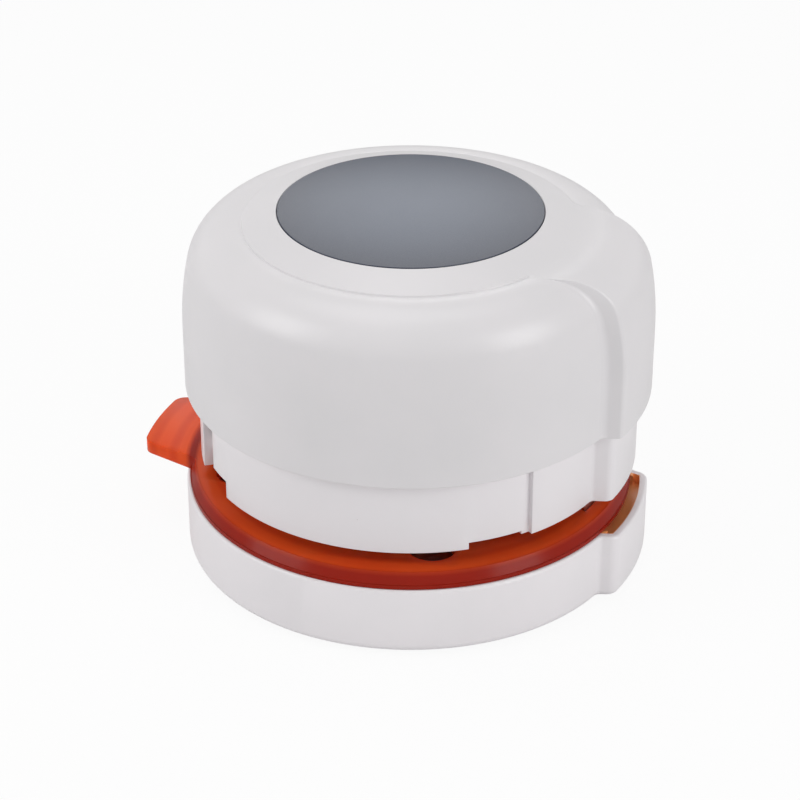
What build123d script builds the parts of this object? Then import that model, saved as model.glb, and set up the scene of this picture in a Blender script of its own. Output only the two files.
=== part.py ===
from build123d import *
from math import asin, atan, cos, degrees, hypot, radians, sin, sqrt, tan
import os

os.makedirs("parts", exist_ok=True)

# Circle punch, millimetres. Origin at the centre of the base's underside, +Z up.
# The bulge that all three white mouldings share points along +Y, paper goes in from -Y.
# Its flat flanks lean in towards its end, and each is told by its distance from the axis.
# Angles are in degrees about +Z, counted from +X.

# Cutting set
cut_r = 25.4
cut_gap = 0.05
slide_gap = 0.10
body_gap = 0.30
seat_gap = 0.10
overrun = 1.0

# Outer mouldings: the band is the room around the punch for screws, springs and latches
band_w = 19.2
cap_inset = 0.5
cap_bulge_out = 3.2
base_bulge_out = 2.8
flank_out = 23.1
flank_lean = 13.7
cap_wall = 2.1
cap_edge_z = 36.6
cap_top_z = 72.0
base_wall = 2.4
base_floor = 2.4
base_top_z = 14.7
foot_proud = 0.8
exit_out = 1.2
exit_rim_w = 2.0
exit_rim_gap = 0.1
base_corner_r = 2.6
base_foot_round = 1.9
base_rim_round = 0.6
pocket_depth = 2.0
pocket_wall = 1.5
housing_corner_r = 2.0
housing_wall = 2.1
housing_gap = 0.5
housing_end_gap = 0.4

# Push stroke and the paper gap
stroke = 12.0
paper_gap = 1.5

# Cap shoulder, top plate and roof
shoulder_lower_r = 60.0
shoulder_upper_r = 9.5
shoulder_split = 12.0
crown_drop = 2.4
crown_flat = 1.4
crown_step = 0.15
disc_t = 1.2
disc_gap = 0.1
disc_proud = 0.1
cap_corner_round = 1.0
crown_blend_r = 17.0

# Lock ring
ring_t = 3.0
ring_inset = 0.6
ring_slope_w = 1.3
ring_lip_h = 0.8
ring_lip_w = 0.25
ring_turn = 30.0
tab_angle = -89.0
tab_reach = 10.0
tab_end_half = 9.2
tab_root_half = 14.3
tab_root_round = 2.0
tab_corner_round = 2.5
tab_dish_out = 2.4
tab_dish = 0.35
window_r = 4.7
window_out = 3.8
window_angles = (24.5, -61.0, -151.5)
groove_inset = 3.4
groove_w = 1.0
groove_d = 0.6

# Die plate and keeper
collar_wall = 2.05
collar_step_w = 0.8
keeper_lap = 1.9
keeper_t = 0.8
plate_t = 2.4
plate_ring_gap = 0.4
die_relief = 0.6
die_land = 2.2
lobe_r = 5.4
die_screw_out = 3.0
die_screw_angles = (65.0, 115.0, -42.5, -137.5)
die_boss_r = 3.6
back_lug_inset = 1.8
back_lug_half = 16.0

# Back spacer and frame screws
spacer_t = 3.1
spacer_edge = 0.8
spacer_half = 14.0
frame_screw_half = 8.0

# Housing
housing_top_z = 43.0
housing_top_chamfer = 0.8
skirt_z = 21.2
skirt_step_b = 1.4
skirt_step_d = 3.6
step_b_angles = (32.8, 48.5)
slot_angles = (-58.5, -48.6)
step_d_end = -40.6
slot_roof_z = 40.1
groove_angles = (48.5, 50.8)
groove_depth = 1.0
deck_z = 25.0
deck_t = 2.5
guide_tube_wall = 2.2
guide_collar_w = 3.4
back_boss_margin = 2.0

# Guide plate
guide_plate_t = 1.5
guide_plate_lap = 1.0
stop_out = 2.2
stop_t = 1.1
guide_screw_out = 3.8
guide_screw_angles = (0.0, 180.0, -90.0)
punch_screw_angles = (0.0, 90.0, 180.0, -90.0)

# Punch and holder
punch_h = 12.0
punch_pocket_wall = 7.9
punch_pocket_d = 7.5
punch_hollow_r = 240.0
holder_wall = 2.2
holder_web = 3.0
holder_boss_r = 3.4
holder_boss_inset = 4.2
punch_screw_inset = 5.1
punch_lift = 0.2

# Springs and their pegs
spring_side_gap = 1.35
spring_angles = (20.0, 160.0, -45.0, -135.0)
spring_wire_r = 0.5
spring_turns = 8
spring_seat_z = 60.0
peg_r = 2.6
deck_peg_h = 7.0
cap_peg_h = 8.0
spring_boss_r = 5.2

# Latch legs
leg_angles = (52.0, 128.0)
leg_t = 2.0
leg_half_w = 2.5
leg_foot_out = 1.5
leg_foot_h = 2.0
leg_plate_t = 2.0
leg_plate_z = 60.0
leg_screw_out = 4.2
leg_boss_r = 2.9
window_margin = 0.45

# Cap lugs and rib
lug_h = 3.0
lug_gap = 0.25
rib_t = 0.6

# Screws: thread radius, head radius, head height
screw_sizes = {"small": (1.0, 1.9, 1.1), "medium": (1.25, 2.3, 1.3), "large": (1.5, 2.6, 1.6)}
screw_drive_share = 0.45

# Feet
foot_r = 4.5
foot_t = 1.6
foot_inset = 8.6
foot_angles = (35.0, 145.0, -35.0, -145.0)
foot_gap = 0.1

# Radii that follow from the sizes above
base_r = cut_r + band_w
base_bulge_r = base_r + base_bulge_out
cap_r = base_r - cap_inset
cap_bulge_r = cap_r + cap_bulge_out
cap_in_r = cap_r - cap_wall
cap_bulge_in_r = cap_bulge_r - cap_wall
housing_r = cap_in_r - housing_gap
housing_bulge_r = cap_bulge_in_r - housing_end_gap
housing_in_r = housing_r - housing_wall
cap_in_flank = flank_out - cap_wall
housing_flank = cap_in_flank - housing_gap
shoulder_sweep_r = (shoulder_lower_r - shoulder_upper_r) * cos(radians(shoulder_split))
shoulder_top_r = cap_r - shoulder_lower_r + shoulder_sweep_r
crown_r = shoulder_top_r - crown_flat
exit_r = cut_r + exit_out
ring_r = base_r - ring_inset
ring_top_r = ring_r - ring_slope_w
tab_end_r = ring_r + tab_reach
tab_dish_r = ring_r + tab_dish_out
groove_r = ring_r - groove_inset
collar_step_r = cut_r + cut_gap + collar_wall
collar_r = collar_step_r + collar_step_w
keeper_r = collar_r + keeper_lap
plate_r = keeper_r + body_gap
window_ring_r = plate_r + window_out
die_screw_ring_r = plate_r + die_screw_out
back_lug_r = base_r - base_wall - back_lug_inset
spacer_out_r = back_lug_r - spacer_edge
spacer_in_r = spacer_out_r - spacer_t
spacer_mid_r = (spacer_in_r + spacer_out_r) / 2
guide_plate_r = keeper_r + guide_plate_lap
guide_screw_ring_r = cut_r + guide_screw_out
guide_tube_r = cut_r + slide_gap + guide_tube_wall
punch_pocket_r = cut_r - punch_pocket_wall
holder_boss_ring_r = cut_r - holder_wall - holder_boss_inset
punch_screw_ring_r = cut_r - punch_screw_inset
spring_ring_r = (guide_tube_r + housing_in_r) / 2
spring_coil_r = (housing_in_r - guide_tube_r) / 2 - spring_side_gap - spring_wire_r
leg_in_r = plate_r + window_margin
leg_ring_r = leg_in_r + leg_t / 2
leg_screw_ring_r = leg_ring_r + leg_screw_out
foot_ring_r = base_r - foot_inset

# Levels that follow from the sizes above
tray_z = foot_proud
floor_z = tray_z + base_floor
ring_z = base_top_z + seat_gap
paper_z = ring_z + ring_t
plate_top_z = ring_z - plate_ring_gap
plate_z = plate_top_z - plate_t
guide_plate_z = paper_z + paper_gap
guide_top_z = guide_plate_z + guide_plate_t
deck_top_z = deck_z + deck_t
punch_z = guide_plate_z + punch_lift
punch_top_z = punch_z + punch_h
crown_z = cap_top_z - crown_drop
roof_t = cap_wall + crown_step
roof_z = crown_z - roof_t
foot_low_z = ring_z - 2 * seat_gap - body_gap - leg_foot_h + stroke
frame_screw_angles = (90 - frame_screw_half, 90 + frame_screw_half)
back_lug_angles = (90 - back_lug_half, 90 + back_lug_half)
holder_seat_z = cap_top_z - disc_t - screw_sizes["large"][2] - slide_gap
holder_thread_z = (roof_z + punch_top_z) / 2


def save(shape, node):
    shape.label = node
    export_step(shape, "parts/" + node + ".step")


def polar(radius, angle):
    return (radius * cos(radians(angle)), radius * sin(radians(angle)))


def at(radius, angle, z):
    x, y = polar(radius, angle)
    return Pos(x, y, z)


on_plane = (Align.CENTER, Align.CENTER, Align.MIN)


def rod(radius, low, high):
    return Pos(0, 0, low) * Cylinder(radius, high - low, align=on_plane)


def tube(inner, outer, low, high):
    return rod(outer, low, high) - rod(inner, low - overrun, high + overrun)


# Arc-shaped block between two radii and two angles
def sector(inner, outer, start, end, low, high):
    middle = (start + end) / 2
    outline = Polyline(polar(inner, start), polar(outer, start))
    outline += ThreePointArc(polar(outer, start), polar(outer, middle), polar(outer, end))
    outline += Line(polar(outer, end), polar(inner, end))
    outline += ThreePointArc(polar(inner, end), polar(inner, middle), polar(inner, start))
    return Pos(0, 0, low) * extrude(make_face(outline), high - low)


# Area between the two flanks, as far out as the reach
def between_flanks(flank, reach):
    lean = radians(flank_lean)
    near = (flank * cos(lean), flank * sin(lean))
    far = (near[0] - reach * sin(lean), near[1] + reach * cos(lean))
    return make_face(Polyline(near, far, (-far[0], far[1]), (-near[0], near[1]), close=True))


def on_flank(point, flank):
    lean = radians(flank_lean)
    return abs(abs(point.X) * cos(lean) + point.Y * sin(lean) - flank) < slide_gap


# Circle with the flat-sided bulge that points to +Y
def plan(radius, bulge_radius, flank, outer_round, inner_round):
    outline = Circle(radius) + (between_flanks(flank, bulge_radius) & Circle(bulge_radius))
    middle_r = (radius + bulge_radius) / 2
    corners = [v for v in outline.vertices() if on_flank(v, flank) and hypot(v.X, v.Y) > middle_r]
    outline = fillet(corners, outer_round)
    roots = [v for v in outline.vertices() if abs(hypot(v.X, v.Y) - radius) < slide_gap]
    return fillet([v for v in roots if on_flank(v, flank)], inner_round)


def slab_of(face, low, high):
    return Pos(0, 0, low) * extrude(face, high - low)


# Cross-shaped drive recess for a screw's head
def drive_recess(head, thread, low, high):
    slot_w = thread * screw_drive_share
    return slab_of(Rectangle(head, slot_w) + Rectangle(slot_w, head), low, high)


# Pan-head screw with its drive recess, head up, seat at z
def pan_screw(size, seat, length):
    thread, head, height = screw_sizes[size]
    body = rod(thread, seat - length, seat) + rod(head, seat, seat + height)
    body = fillet(body.edges().group_by(Axis.Z)[-1], height * screw_drive_share)
    return body - drive_recess(head, thread, seat + height * screw_drive_share, seat + height + overrun)


def countersink(size, face):
    thread, head, height = screw_sizes[size]
    return Pos(0, 0, face - height) * Cone(thread, head, height, align=on_plane)


# Countersunk screw with its head's face at z
def flat_screw(size, face, length):
    thread, head, height = screw_sizes[size]
    body = rod(thread, face - length, face) + countersink(size, face)
    return body - drive_recess(head, thread, face - height * screw_drive_share, face + overrun)


def flat_seat(size, face, length):
    return rod(screw_sizes[size][0], face - length, face + overrun) + countersink(size, face)


def around(radius, angles, piece):
    return [at(radius, angle, 0) * Rot(0, 0, angle) * piece for angle in angles]


def with_pieces(body, radius, angles, piece):
    for copy in around(radius, angles, piece):
        body += copy
    return body


def drilled(body, radius, angles, hole):
    for copy in around(radius, angles, hole):
        body -= copy
    return body


# Half profile of the cap: wall, two-arc shoulder, then the crown that is asked for
def cap_profile(wall_r, crown, inset, low):
    split = radians(shoulder_split)
    upper = shoulder_upper_r - inset
    lower = shoulder_lower_r - inset
    top = crown_z - inset
    turn_z = top - upper
    turn_r = wall_r - lower + (lower - upper) * cos(split)
    start_z = turn_z - (lower - upper) * sin(split)
    first_mid = split / 2
    second_mid = (split + radians(90)) / 2
    first = [(wall_r - lower + lower * cos(a), start_z + lower * sin(a)) for a in (0, first_mid, split)]
    second = [(turn_r + upper * cos(a), turn_z + upper * sin(a)) for a in (split, second_mid, radians(90))]
    outline = Line((wall_r, low), first[0])
    outline += ThreePointArc(*first)
    outline += ThreePointArc(*second)
    return outline + crown(second[-1][0], top)


# Solid of revolution under an outline that ends on the axis
def turned(outline, low):
    start = outline @ 0
    top = outline.bounding_box().max.Y
    closed = outline + Line((0, top), (0, low)) + Line((0, low), (start.X, low))
    return revolve(make_face(Plane.XZ * closed), Axis.Z)


def cap_outer_crown(start_r, top):
    disc_edge = cut_r + disc_gap
    step = [(start_r, top), (crown_r, top), (crown_r, top + crown_step)]
    return Polyline(*step, (disc_edge, cap_top_z), (0, cap_top_z))


# Over the bulge the cone of the crown runs out in a hollow arc, with no step
def bulge_crown(start_r, top):
    disc_edge = cut_r + disc_gap
    slope = (cap_top_z - top - crown_step) / (crown_r - disc_edge)
    half = atan(slope) / 2
    tangent = crown_blend_r * tan(half)
    corner_r = disc_edge + (cap_top_z - top) / slope
    low = (corner_r + tangent, top)
    middle = (low[0] - crown_blend_r * sin(half), top + crown_blend_r * (1 - cos(half)))
    high = (corner_r - tangent * cos(2 * half), top + tangent * sin(2 * half))
    outline = Line((start_r, top), low)
    outline += ThreePointArc(low, middle, high)
    return outline + Polyline(high, (disc_edge, cap_top_z), (0, cap_top_z))


def cap_inner_crown(start_r, top):
    return Line((start_r, top), (0, top))


# Outer edges along the flanks of the cap's bulge
def flank_edges(block):
    edges = [e for e in block.edges() if all(on_flank(e @ share, flank_out) for share in (0, 0.5, 1))]
    outer = [e for e in edges if min((e @ 0).Y, (e @ 1).Y) > crown_r / 2]
    return [e for e in outer if e.center().Z > cap_edge_z + slide_gap]


# Base tray: wall, floor with the exit hole, die seat, screw bosses and the back pillar
def make_base_tray():
    outer = plan(base_r, base_bulge_r, flank_out, base_corner_r, base_wall / 2)
    inner_flank = flank_out - base_wall
    inner = plan(base_r - base_wall, base_bulge_r - base_wall, inner_flank, base_wall / 2, base_wall / 2)
    tray = slab_of(outer, tray_z, base_top_z)
    tray = fillet(tray.faces().sort_by(Axis.Z)[0].outer_wire().edges(), base_foot_round)
    tray -= slab_of(inner, floor_z, base_top_z + overrun)
    rim = tray.faces().sort_by(Axis.Z)[-1].outer_wire().edges()
    tray = fillet(rim, base_rim_round)
    pocket = inner - Circle(base_r - base_wall)
    tray += slab_of(pocket, floor_z - overrun, base_top_z - pocket_depth)
    brim_flank = flank_out - pocket_wall
    brim = plan(base_r - pocket_wall, base_bulge_r - pocket_wall, brim_flank, base_wall / 2, base_wall / 2)
    tray -= slab_of(brim - Circle(base_r), base_top_z - pocket_depth, base_top_z + overrun)
    tray += rod(plate_r, floor_z - overrun, plate_z)
    tray = with_pieces(tray, die_screw_ring_r, die_screw_angles, rod(die_boss_r, floor_z - overrun, plate_z))
    tray += sector(spacer_in_r, back_lug_r, *back_lug_angles, floor_z - overrun, plate_z)
    tray += rod(exit_r + exit_rim_w, exit_rim_gap, floor_z)
    tray -= rod(exit_r, 0, plate_z + overrun)
    thread, head, height = screw_sizes["medium"]
    tray = drilled(tray, die_screw_ring_r, die_screw_angles, rod(thread, floor_z, plate_z + overrun))
    tray = drilled(tray, foot_ring_r, foot_angles, rod(foot_r + foot_gap, 0, foot_t))
    tray = drilled(tray, spacer_mid_r, frame_screw_angles, rod(head + foot_gap, 0, tray_z + 2 * height))
    tray = drilled(tray, spacer_mid_r, frame_screw_angles, rod(thread, 0, plate_z + overrun))
    for angle in leg_angles:
        tray -= leg_window(angle, floor_z, base_top_z)
    return tray


# Clear way for one latch leg
def leg_window(angle, low, high):
    outer = leg_in_r + leg_t + leg_foot_out + window_margin
    half = degrees(asin((leg_half_w + window_margin) / leg_in_r))
    return sector(leg_in_r - window_margin, outer, angle - half, angle + half, low, high)


# Die plate: lobed flange, raised collar with the cutting bore, back lug for the spacer
def make_die_plate():
    plate = rod(plate_r, plate_z, plate_top_z)
    plate = with_pieces(plate, die_screw_ring_r, die_screw_angles, rod(die_boss_r, plate_z, plate_top_z))
    plate = with_pieces(plate, window_ring_r, window_angles, rod(lobe_r, plate_z, plate_top_z))
    plate += sector(plate_r - overrun, back_lug_r, *back_lug_angles, plate_z, plate_top_z)
    plate += rod(collar_r, plate_z, paper_z - keeper_t)
    plate += rod(collar_step_r, plate_z, paper_z)
    plate -= rod(cut_r + cut_gap, plate_z - overrun, paper_z + overrun)
    plate -= rod(cut_r + die_relief, plate_z - overrun, paper_z - die_land)
    seat = flat_seat("medium", plate_top_z, plate_t + overrun)
    plate = drilled(plate, die_screw_ring_r, die_screw_angles, seat)
    bolt_way = rod(screw_sizes["medium"][0], plate_z - overrun, plate_top_z + overrun)
    plate = drilled(plate, spacer_mid_r, frame_screw_angles, bolt_way)
    for angle in leg_angles:
        plate -= leg_window(angle, plate_z - overrun, plate_top_z + overrun)
    return plate


def make_keeper_ring():
    return tube(collar_step_r, keeper_r, paper_z - keeper_t, paper_z)


# Lock ring: annulus with a sloped rim, thumb tab, round windows, latch keyholes and spacer window
def make_lock_ring():
    lip_top = ring_z + ring_lip_h
    bore_r = collar_r + slide_gap
    rim = [(bore_r, ring_z), (ring_r, ring_z), (ring_r, lip_top), (ring_r - ring_lip_w, lip_top)]
    section = Polyline(*rim, (ring_top_r, paper_z), (bore_r, paper_z), close=True)
    ring = revolve(make_face(Plane.XZ * section), Axis.Z)
    ring += make_tab()
    ring -= tube(collar_r - overrun, keeper_r + body_gap, paper_z - keeper_t - body_gap, paper_z + overrun)
    ring = drilled(ring, window_ring_r, window_angles, rod(window_r, ring_z - overrun, paper_z + overrun))
    ring -= tube(groove_r, groove_r + groove_w, ring_z - overrun, ring_z + groove_d)
    half = degrees(asin((leg_half_w + window_margin) / leg_in_r))
    shank_out = leg_in_r + leg_t + window_margin
    for angle in leg_angles:
        ring -= leg_window(angle, ring_z - overrun, paper_z + overrun)
        ring -= sector(leg_in_r - window_margin, shank_out, angle, angle + half + ring_turn,
                       ring_z - overrun, paper_z + overrun)
    margin = degrees(asin(body_gap / spacer_in_r))
    start = 90 - spacer_half - margin
    end = 90 + spacer_half + margin + ring_turn
    near = spacer_in_r - body_gap
    far = spacer_out_r + body_gap
    return ring - sector(near, far, start, end, ring_z - overrun, paper_z + overrun)


# Thumb tab: narrowing tongue with rounded outer corners and filleted roots, dished on top
def make_tab():
    root = sqrt(ring_top_r ** 2 - tab_root_half ** 2)
    root_x = root - tab_root_round
    end_x = sqrt(tab_end_r ** 2 - tab_end_half ** 2)
    outline = Polyline((root_x, -tab_root_half), (end_x, -tab_end_half))
    outline += ThreePointArc((end_x, -tab_end_half), (tab_end_r, 0), (end_x, tab_end_half))
    outline += Polyline((end_x, tab_end_half), (root_x, tab_root_half), (root_x, -tab_root_half))
    tongue = make_face(outline)
    tongue = fillet([v for v in tongue.vertices() if v.X > end_x - overrun], tab_corner_round)
    both = tongue + Circle(ring_top_r)
    roots = [v for v in both.vertices() if abs(v.X - root) < overrun and abs(v.Y) < tab_root_half + overrun]
    both = fillet(roots, tab_root_round)
    front = (both & (Pos(tab_end_r, 0) * Rectangle(tab_end_r, tab_end_r))) - Circle(groove_r)
    tab = slab_of(front, ring_z, paper_z)
    dish = tube(tab_dish_r, tab_end_r + overrun, paper_z - tab_dish, paper_z + overrun)
    return Rot(0, 0, tab_angle) * (tab - dish)


def make_back_spacer():
    block = sector(spacer_in_r, spacer_out_r, 90 - spacer_half, 90 + spacer_half, plate_top_z, skirt_z)
    bolt_way = rod(screw_sizes["medium"][0], plate_top_z - overrun, skirt_z + overrun)
    return drilled(block, spacer_mid_r, frame_screw_angles, bolt_way)


# Guide plate: strips the paper off the punch, its rear lip stops the paper
def make_guide_plate():
    plate = rod(guide_plate_r, guide_plate_z, guide_top_z)
    stop = rod(keeper_r - body_gap, guide_plate_z - stop_t, guide_top_z)
    stop_y = cut_r + stop_out + guide_plate_r / 2
    stop &= Pos(0, stop_y, guide_plate_z) * Box(2 * guide_plate_r, guide_plate_r, 4 * stop_t)
    plate += stop
    plate -= rod(cut_r + cut_gap, guide_plate_z - stop_t - overrun, guide_top_z + overrun)
    seat = Pos(0, 0, guide_plate_z) * Rot(180, 0, 0) * flat_seat("small", 0, guide_plate_t + overrun)
    plate = drilled(plate, guide_screw_ring_r, guide_screw_angles, seat)
    for angle in leg_angles:
        plate -= leg_window(angle, guide_plate_z - overrun, guide_top_z + overrun)
    return plate


# Housing: stepped skirt, deck, guide tube, spring pegs and the boss over the spacer
def make_housing():
    skin = plan(housing_r, housing_bulge_r, housing_flank, housing_corner_r, housing_wall / 2)
    inside = plan(housing_in_r, housing_bulge_r - housing_wall, housing_flank - housing_wall,
                  housing_wall / 2, housing_wall / 2)
    shell = slab_of(skin, skirt_z, housing_top_z)
    shell = chamfer(shell.faces().sort_by(Axis.Z)[-1].edges(), housing_top_chamfer)
    shell -= slab_of(inside, skirt_z - overrun, housing_top_z + overrun)
    far = cap_bulge_r + overrun
    near = housing_in_r - overrun
    low = skirt_z - overrun
    cuts = sector(near, far, *step_b_angles, low, skirt_z + skirt_step_b)
    cuts += sector(near, far, slot_angles[0], step_d_end, low, skirt_z + skirt_step_d)
    cuts += sector(near, far, *slot_angles, low, slot_roof_z)
    cuts += sector(housing_r - groove_depth, far, *groove_angles, low, housing_top_z + overrun)
    shell -= cuts
    shell -= mirror(cuts, Plane.YZ)
    shell += slab_of(inside, deck_z, deck_top_z)
    shell += rod(guide_tube_r, guide_top_z, housing_top_z)
    shell += rod(guide_tube_r + guide_collar_w, guide_top_z, deck_z + overrun)
    boss_half = spacer_half + back_boss_margin
    boss_out = housing_in_r + overrun
    shell += sector(spacer_in_r, boss_out, 90 - boss_half, 90 + boss_half, skirt_z, deck_z + overrun)
    shell = with_pieces(shell, spring_ring_r, spring_angles, rod(peg_r, deck_top_z, deck_top_z + deck_peg_h))
    shell -= rod(cut_r + slide_gap, guide_top_z - overrun, housing_top_z + overrun)
    thread = rod(screw_sizes["small"][0], guide_top_z - overrun, deck_z)
    shell = drilled(shell, guide_screw_ring_r, guide_screw_angles, thread)
    bolt_way = rod(screw_sizes["medium"][0], skirt_z - overrun, deck_top_z)
    shell = drilled(shell, spacer_mid_r, frame_screw_angles, bolt_way)
    for angle in leg_angles:
        shell -= leg_window(angle, guide_top_z - overrun, deck_top_z + overrun)
    return shell


# Cap: shell with the bulge, disc recess, spring bosses, leg bosses, lugs and ribs
def make_cap():
    main = turned(cap_profile(cap_r, cap_outer_crown, 0, cap_edge_z), cap_edge_z)
    bulge = turned(cap_profile(cap_bulge_r, bulge_crown, 0, cap_edge_z), cap_edge_z)
    high = cap_top_z + overrun
    block = bulge & slab_of(between_flanks(flank_out, cap_bulge_r), 0, high)
    solid = main + fillet(flank_edges(block), cap_corner_round)
    low = cap_edge_z - overrun
    inside = turned(cap_profile(cap_in_r, cap_inner_crown, roof_t, low), low)
    bulge_inside = turned(cap_profile(cap_bulge_in_r, cap_inner_crown, roof_t, low), low)
    inner_slab = slab_of(between_flanks(cap_in_flank, cap_bulge_r), 0, high)
    cap = solid - (inside + (bulge_inside & inner_slab))
    extras = []
    for angle in spring_angles:
        extras.append(at(spring_ring_r, angle, 0) * rod(spring_boss_r, spring_seat_z, roof_z + overrun))
        extras.append(at(spring_ring_r, angle, 0) * rod(peg_r, spring_seat_z - cap_peg_h, roof_z))
    for angle in leg_angles:
        boss = rod(leg_boss_r, leg_plate_z + leg_plate_t, roof_z + overrun)
        extras.append(at(leg_screw_ring_r, angle, 0) * boss)
    for extra in extras:
        cap += extra & solid
    margin = degrees(asin(body_gap / housing_r))
    root_r = cap_in_r + slide_gap
    lug_top = slot_roof_z - lug_gap
    lug_angles = (slot_angles[0] + margin, slot_angles[1] - margin)
    rib_angles = (groove_angles[0] + margin, groove_angles[1] - margin)
    runners = sector(housing_in_r + body_gap, root_r, *lug_angles, lug_top - lug_h, lug_top)
    runners += sector(cap_in_r - rib_t - housing_gap, root_r, *rib_angles, cap_edge_z, housing_top_z)
    cap += runners
    cap += mirror(runners, Plane.YZ)
    cap -= rod(cut_r + disc_gap, cap_top_z - disc_t, cap_top_z + overrun)
    thread, head = screw_sizes["large"][:2]
    cap = drilled(cap, holder_boss_ring_r, spring_angles, rod(thread, roof_z - overrun, cap_top_z))
    cap = drilled(cap, holder_boss_ring_r, spring_angles, rod(head + slide_gap, holder_seat_z, cap_top_z))
    return drilled(cap, leg_screw_ring_r, leg_angles, rod(screw_sizes["medium"][0], leg_plate_z, roof_z))


def make_top_disc():
    disc = rod(cut_r, cap_top_z - disc_t, cap_top_z + disc_proud)
    return fillet(disc.edges().group_by(Axis.Z)[-1], disc_gap)


# Punch holder: open-topped cup with a web that the punch hangs from
def make_punch_holder():
    cup = rod(cut_r, punch_top_z, roof_z)
    cup -= rod(cut_r - holder_wall, punch_top_z + holder_web, roof_z + overrun)
    cup = with_pieces(cup, holder_boss_ring_r, spring_angles, rod(holder_boss_r, punch_top_z, roof_z))
    thread = rod(screw_sizes["large"][0], holder_thread_z, roof_z + overrun)
    cup = drilled(cup, holder_boss_ring_r, spring_angles, thread)
    bolt_way = rod(screw_sizes["medium"][0], punch_top_z - overrun, punch_top_z + holder_web + overrun)
    return drilled(cup, punch_screw_ring_r, punch_screw_angles, bolt_way)


# Punch: steel slug with a hollow-ground face and a pocket on top
def make_punch():
    slug = rod(cut_r, punch_z, punch_top_z)
    slug -= rod(punch_pocket_r, punch_top_z - punch_pocket_d, punch_top_z + overrun)
    hollow_edge_r = cut_r - overrun
    drop = sqrt(punch_hollow_r ** 2 - hollow_edge_r ** 2)
    ball = Pos(0, 0, punch_z - drop) * Sphere(punch_hollow_r)
    slug -= ball & rod(hollow_edge_r, punch_z - overrun, punch_top_z)
    thread = rod(screw_sizes["medium"][0], punch_z + punch_h / 2, punch_top_z + overrun)
    return drilled(slug, punch_screw_ring_r, punch_screw_angles, thread)


# Latch leg: top plate, upright and a foot that hooks under the lock ring
def make_latch_leg(angle):
    low = foot_low_z
    upright = Pos(0, 0, low) * Box(leg_t, 2 * leg_half_w, leg_plate_z + leg_plate_t - low, align=on_plane)
    foot = Box(leg_t + leg_foot_out, 2 * leg_half_w, leg_foot_h, align=on_plane)
    foot = Pos(leg_foot_out / 2, 0, low) * foot
    foot = chamfer(foot.edges().filter_by(Axis.Y).group_by(Axis.Z)[0].sort_by(Axis.X)[-1], leg_foot_h / 2)
    plate = Box(leg_screw_out, 2 * leg_half_w, leg_plate_t, align=on_plane)
    plate = Pos(leg_screw_out / 2, 0, leg_plate_z) * plate
    plate += Pos(leg_screw_out, 0) * rod(leg_boss_r, leg_plate_z, leg_plate_z + leg_plate_t)
    bolt_way = rod(screw_sizes["medium"][0], leg_plate_z - overrun, leg_plate_z + leg_plate_t + overrun)
    leg = upright + foot + plate - Pos(leg_screw_out, 0) * bolt_way
    return at(leg_ring_r, angle, 0) * Rot(0, 0, angle) * leg


# Point on the return spring's helix, counted in quarter turns
def spring_point(step):
    low = deck_top_z + spring_wire_r + seat_gap / 2
    high = spring_seat_z - spring_wire_r - seat_gap / 2
    turn = radians(90 * step)
    rise = (high - low) * step / (4 * spring_turns)
    return Vector(spring_coil_r * cos(turn), spring_coil_r * sin(turn), low + rise)


# Return spring: one unbroken helix of quarter-turn arcs
def make_spring():
    path = ThreePointArc(spring_point(0), spring_point(0.5), spring_point(1))
    for step in range(1, 4 * spring_turns):
        path += ThreePointArc(spring_point(step), spring_point(step + 0.5), spring_point(step + 1))
    section = Plane(origin=path @ 0, z_dir=path % 0) * Circle(spring_wire_r)
    return sweep(section, path=path)


# Least gap between the spring's wire and its next turn
def spring_self_gap():
    next_turn = [spring_point(4 + step / 4) for step in range(-8, 9)]
    return min((point - spring_point(0)).length for point in next_turn) - 2 * spring_wire_r


# Base
save(make_base_tray(), "base_tray")
save(make_die_plate(), "die_plate")
save(make_keeper_ring(), "keeper_ring")
save(make_back_spacer(), "back_spacer")
save(make_guide_plate(), "guide_plate")
save(make_housing(), "housing")

# Screws
die_screw_length = plate_z + plate_t - floor_z - overrun
die_screws = around(die_screw_ring_r, die_screw_angles, flat_screw("medium", plate_top_z, die_screw_length))
save(Compound(children=die_screws), "die_screws")
frame_seat = tray_z + 2 * screw_sizes["medium"][2]
frame_length = deck_z - frame_seat + deck_t / 2
frame_screw = Pos(0, 0, frame_seat) * Rot(180, 0, 0) * pan_screw("medium", 0, frame_length)
save(Compound(children=around(spacer_mid_r, frame_screw_angles, frame_screw)), "frame_screws")
guide_length = deck_z - guide_plate_z - overrun
guide_screw = Pos(0, 0, guide_plate_z) * Rot(180, 0, 0) * flat_screw("small", 0, guide_length)
save(Compound(children=around(guide_screw_ring_r, guide_screw_angles, guide_screw)), "guide_plate_screws")
punch_length = holder_web + punch_h / 2
punch_screw = pan_screw("medium", punch_top_z + holder_web, punch_length)
save(Compound(children=around(punch_screw_ring_r, punch_screw_angles, punch_screw)), "punch_screws")
holder_screw = pan_screw("large", holder_seat_z, holder_seat_z - holder_thread_z - overrun)
save(Compound(children=around(holder_boss_ring_r, spring_angles, holder_screw)), "holder_screws")
leg_length = roof_z - leg_plate_z - overrun / 2
leg_screw = Pos(0, 0, leg_plate_z) * Rot(180, 0, 0) * pan_screw("medium", 0, leg_length)
save(Compound(children=around(leg_screw_ring_r, leg_angles, leg_screw)), "latch_screws")

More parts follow.
